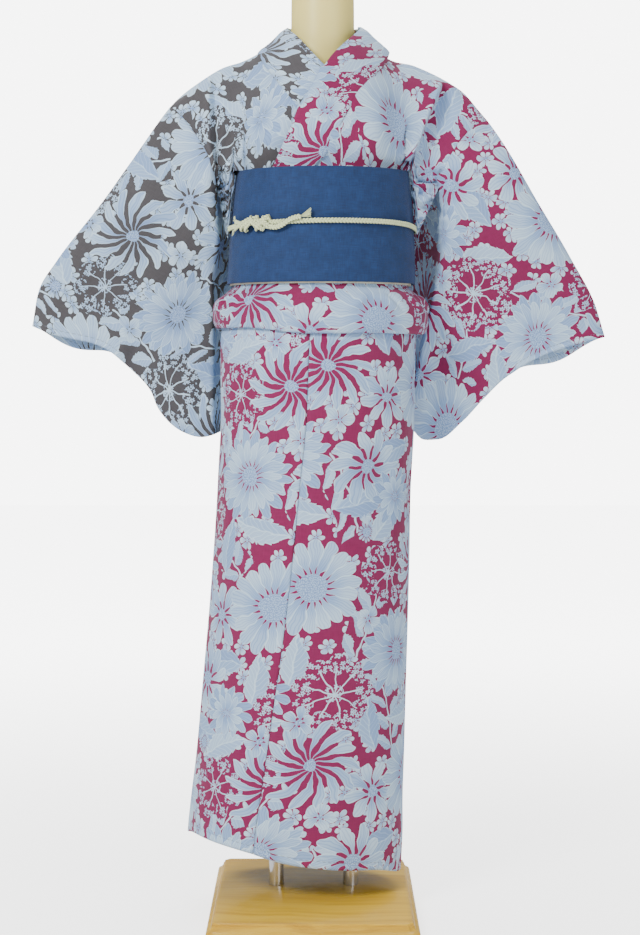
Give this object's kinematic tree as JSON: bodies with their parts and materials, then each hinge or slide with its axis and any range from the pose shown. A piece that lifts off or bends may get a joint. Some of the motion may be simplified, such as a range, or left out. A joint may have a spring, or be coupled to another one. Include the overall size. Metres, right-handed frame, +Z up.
{
  "type": "cotton yukata robe on a limbless dress form with a base board",
  "caption": "Cotton yukata in two colours, dressed on a limbless form with a wide sash and cord, standing on a moulded wooden board.",
  "frame": {"origin": "centre of the base board's underside", "axes": "+Z up, robe faces -Y, the wearer's left is +X"},
  "size_m": [0.8701, 0.3783, 1.378],
  "materials": {
    "right_half": "plain-weave cotton, pale blue flowers on warm grey",
    "left_half": "plain-weave cotton, pale blue flowers on magenta",
    "obi_blue": "fine ribbed weave, matt",
    "obi_reverse": "cream reverse of the sash, matt",
    "cord": "flat braid, pale straw",
    "form": "smooth cream shell, satin",
    "chrome": "polished tube",
    "maple": "clear-varnished maple with a moulded edge"
  },
  "bodies": {
    "root": {"body_right": "right_half", "body_left": "left_half", "collar_right": "right_half", "collar_left": "left_half", "sleeve_right": "right_half", "sleeve_left": "left_half", "waist_fold_right": "right_half", "waist_fold_left": "left_half", "front_right": "right_half", "overlap_right": "right_half", "back_right": "right_half", "front_left": "left_half", "overlap_left": "left_half", "back_left": "left_half", "obi_inner_lap": "obi_reverse", "obi_outer_lap": "obi_blue", "obijime_band": "cord", "obijime_knot": "cord", "obijime_long_end": "cord", "obijime_short_end": "cord", "dress_form": "form", "pole_right": "chrome", "pole_left": "chrome", "base_board": "maple"}
  },
  "joints": []
}
